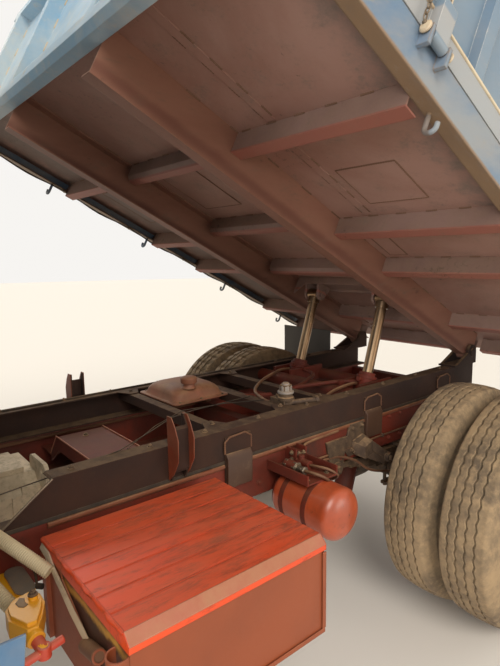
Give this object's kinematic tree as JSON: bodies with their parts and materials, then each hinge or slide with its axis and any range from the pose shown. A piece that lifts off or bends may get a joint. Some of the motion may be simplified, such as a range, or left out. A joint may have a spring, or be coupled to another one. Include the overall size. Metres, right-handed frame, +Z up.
{
  "type": "dump truck",
  "caption": "Two-axle forward-control dump truck whose drop-side body is raised on underfloor rams behind the cab",
  "frame": {"origin": "on the ground below the middle of the whole truck, body raised", "axes": "+X to the truck's left, the truck faces -Y, +Z up"},
  "size_m": [2.53, 5.2022, 2.9628],
  "materials": {
    "chassis_red": "worn red paint with rust and dust",
    "box_red": "worn orange-red paint",
    "subframe_brown": "oily brown over red paint",
    "body_blue": "worn blue paint with rust",
    "cab_blue": "blue paint",
    "underbody_rust": "rusty red-brown paint",
    "rod_chrome": "polished rod",
    "cast_alloy": "dusty casting",
    "cast_dark": "oily casting",
    "tyre": "dusty rubber",
    "rim": "dusty paint",
    "glass": "clear",
    "lamp": "lamp lens",
    "black_plastic": "black",
    "trim_grey": "grey trim",
    "seat_fabric": "woven",
    "flap_rubber": "dirty rubber",
    "pump_yellow": "yellow paint",
    "exhaust_steel": "rusted steel",
    "hose_beige": "corrugated conduit"
  },
  "bodies": {
    "chassis": {"air_tank": "chassis_red", "battery_box": "box_red", "battery_cover": "box_red", "battery_hoses": "hose_beige", "body_guides": "chassis_red", "bumper": "black_plastic", "cab_glass": "glass", "cab_shell": "cab_blue", "chassis_crossmembers": "chassis_red", "chassis_rails": "chassis_red", "control_valve": "subframe_brown", "dashboard": "trim_grey", "engine": "cast_dark", "exhaust": "exhaust_steel", "front_axle": "cast_dark", "fuel_tank": "chassis_red", "gearbox": "cast_alloy", "grille": "black_plastic", "lamps": "lamp", "leaf_springs": "cast_dark", "lift_cradle": "chassis_red", "mirrors": "black_plastic", "mudflaps": "flap_rubber", "oil_tank": "subframe_brown", "propeller_shaft": "cast_dark", "pump_unit": "pump_yellow", "rear_axle": "cast_dark", "rear_pivots": "subframe_brown", "seats": "seat_fabric", "subframe_bars": "subframe_brown", "subframe_rails": "subframe_brown"},
    "knuckle_left": {"knuckle_left": "cast_dark"},
    "knuckle_right": {"knuckle_right": "cast_dark"},
    "track_rod": {"track_rod": "cast_dark"},
    "front_wheel_left": {"front_rim_left": "rim", "front_tyre_left": "tyre"},
    "front_wheel_right": {"front_rim_right": "rim", "front_tyre_right": "tyre"},
    "rear_wheels_left": {"rear_rims_left": "rim", "rear_tyres_left": "tyre"},
    "rear_wheels_right": {"rear_rims_right": "rim", "rear_tyres_right": "tyre"},
    "body": {"body_sills": "underbody_rust", "body_bearers": "underbody_rust", "body_side_rails": "body_blue", "body_floor": "underbody_rust", "headboard": "body_blue"},
    "drop_side_left": {"drop_side_left": "body_blue"},
    "drop_side_right": {"drop_side_right": "body_blue"},
    "tailgate": {"tailgate": "body_blue"},
    "ram_barrel_left": {"ram_barrel_left": "chassis_red"},
    "ram_barrel_right": {"ram_barrel_right": "chassis_red"},
    "ram_rod_left": {"ram_rod_left": "rod_chrome"},
    "ram_rod_right": {"ram_rod_right": "rod_chrome"},
    "door_left": {"door_left": "cab_blue", "door_glass_left": "glass"},
    "door_right": {"door_right": "cab_blue", "door_glass_right": "glass"},
    "steering_wheel": {"steering_wheel": "black_plastic"}
  },
  "joints": [
    {"name": "body_tip", "type": "hinge", "parent": "chassis", "child": "body", "pos_m": [0, 1.986, 1.062], "axis": [-1, 0, 0], "range_deg": [-26.7, 18.3]},
    {"name": "ram_left_swing", "type": "hinge", "parent": "chassis", "child": "ram_barrel_left", "pos_m": [0.25, 1.239, 0.945], "axis": [-1, 0, 0], "range_deg": [-7.98, 5.62]},
    {"name": "ram_left_stroke", "type": "slide", "parent": "ram_barrel_left", "child": "ram_rod_left", "axis": [0, 0.3056, 0.9521], "range_m": [-0.3142, 0.216]},
    {"name": "ram_right_swing", "type": "hinge", "parent": "chassis", "child": "ram_barrel_right", "pos_m": [-0.25, 1.239, 0.945], "axis": [-1, 0, 0], "range_deg": [-7.98, 5.62]},
    {"name": "ram_right_stroke", "type": "slide", "parent": "ram_barrel_right", "child": "ram_rod_right", "axis": [0, 0.3056, 0.9521], "range_m": [-0.3142, 0.216]},
    {"name": "drop_side_left_fold", "type": "hinge", "parent": "body", "child": "drop_side_left", "pos_m": [1.214, 2.06553, 1.22013], "axis": [0, 0.8934, -0.4493], "range_deg": [0, 175]},
    {"name": "drop_side_right_fold", "type": "hinge", "parent": "body", "child": "drop_side_right", "pos_m": [-1.214, 2.06553, 1.22013], "axis": [0, -0.8934, 0.4493], "range_deg": [0, 175]},
    {"name": "tailgate_swing", "type": "hinge", "parent": "body", "child": "tailgate", "pos_m": [0, 2.5609, 1.53738], "axis": [1, 0, 0], "range_deg": [0, 60]},
    {"name": "steer_left", "type": "hinge", "parent": "chassis", "child": "knuckle_left", "pos_m": [0.69, -1.531, 0.51], "axis": [0, 0, 1], "range_deg": [-30, 30]},
    {"name": "steer_right", "type": "hinge", "parent": "chassis", "child": "knuckle_right", "pos_m": [-0.69, -1.531, 0.51], "axis": [0, 0, 1], "range_deg": [-30, 30]},
    {"name": "track_rod_shift", "type": "slide", "parent": "chassis", "child": "track_rod", "axis": [-1, 0, 0], "range_m": [-0.087, 0.087]},
    {"name": "steering_wheel_turn", "type": "hinge", "parent": "chassis", "child": "steering_wheel", "pos_m": [0.56, -1.971, 1.8], "axis": [0, 0.5299, 0.848], "range_deg": [-542, 542]},
    {"name": "front_wheel_left_spin", "type": "hinge", "parent": "knuckle_left", "child": "front_wheel_left", "pos_m": [0.86, -1.531, 0.51], "axis": [1, 0, 0], "continuous": true},
    {"name": "rear_wheels_left_spin", "type": "hinge", "parent": "chassis", "child": "rear_wheels_left", "pos_m": [0.878, 1.369, 0.51], "axis": [1, 0, 0], "continuous": true},
    {"name": "door_left_swing", "type": "hinge", "parent": "chassis", "child": "door_left", "pos_m": [1.083, -2.339, 1.5], "axis": [0, 0, -1], "range_deg": [0, 70]},
    {"name": "front_wheel_right_spin", "type": "hinge", "parent": "knuckle_right", "child": "front_wheel_right", "pos_m": [-0.86, -1.531, 0.51], "axis": [1, 0, 0], "continuous": true},
    {"name": "rear_wheels_right_spin", "type": "hinge", "parent": "chassis", "child": "rear_wheels_right", "pos_m": [-0.878, 1.369, 0.51], "axis": [1, 0, 0], "continuous": true},
    {"name": "door_right_swing", "type": "hinge", "parent": "chassis", "child": "door_right", "pos_m": [-1.083, -2.339, 1.5], "axis": [0, 0, 1], "range_deg": [0, 70]}
  ],
  "couplings": [
    {"joint": "ram_left_swing", "follows": "body_tip", "ratio": 0.28},
    {"joint": "ram_left_stroke", "follows": "body_tip", "m_per_rad": 0.67},
    {"joint": "ram_right_swing", "follows": "body_tip", "ratio": 0.28},
    {"joint": "ram_right_stroke", "follows": "body_tip", "m_per_rad": 0.67},
    {"joint": "steer_right", "follows": "steer_left", "ratio": 1},
    {"joint": "track_rod_shift", "follows": "steer_left", "m_per_rad": 0.16234},
    {"joint": "steering_wheel_turn", "follows": "steer_left", "ratio": 18}
  ]
}
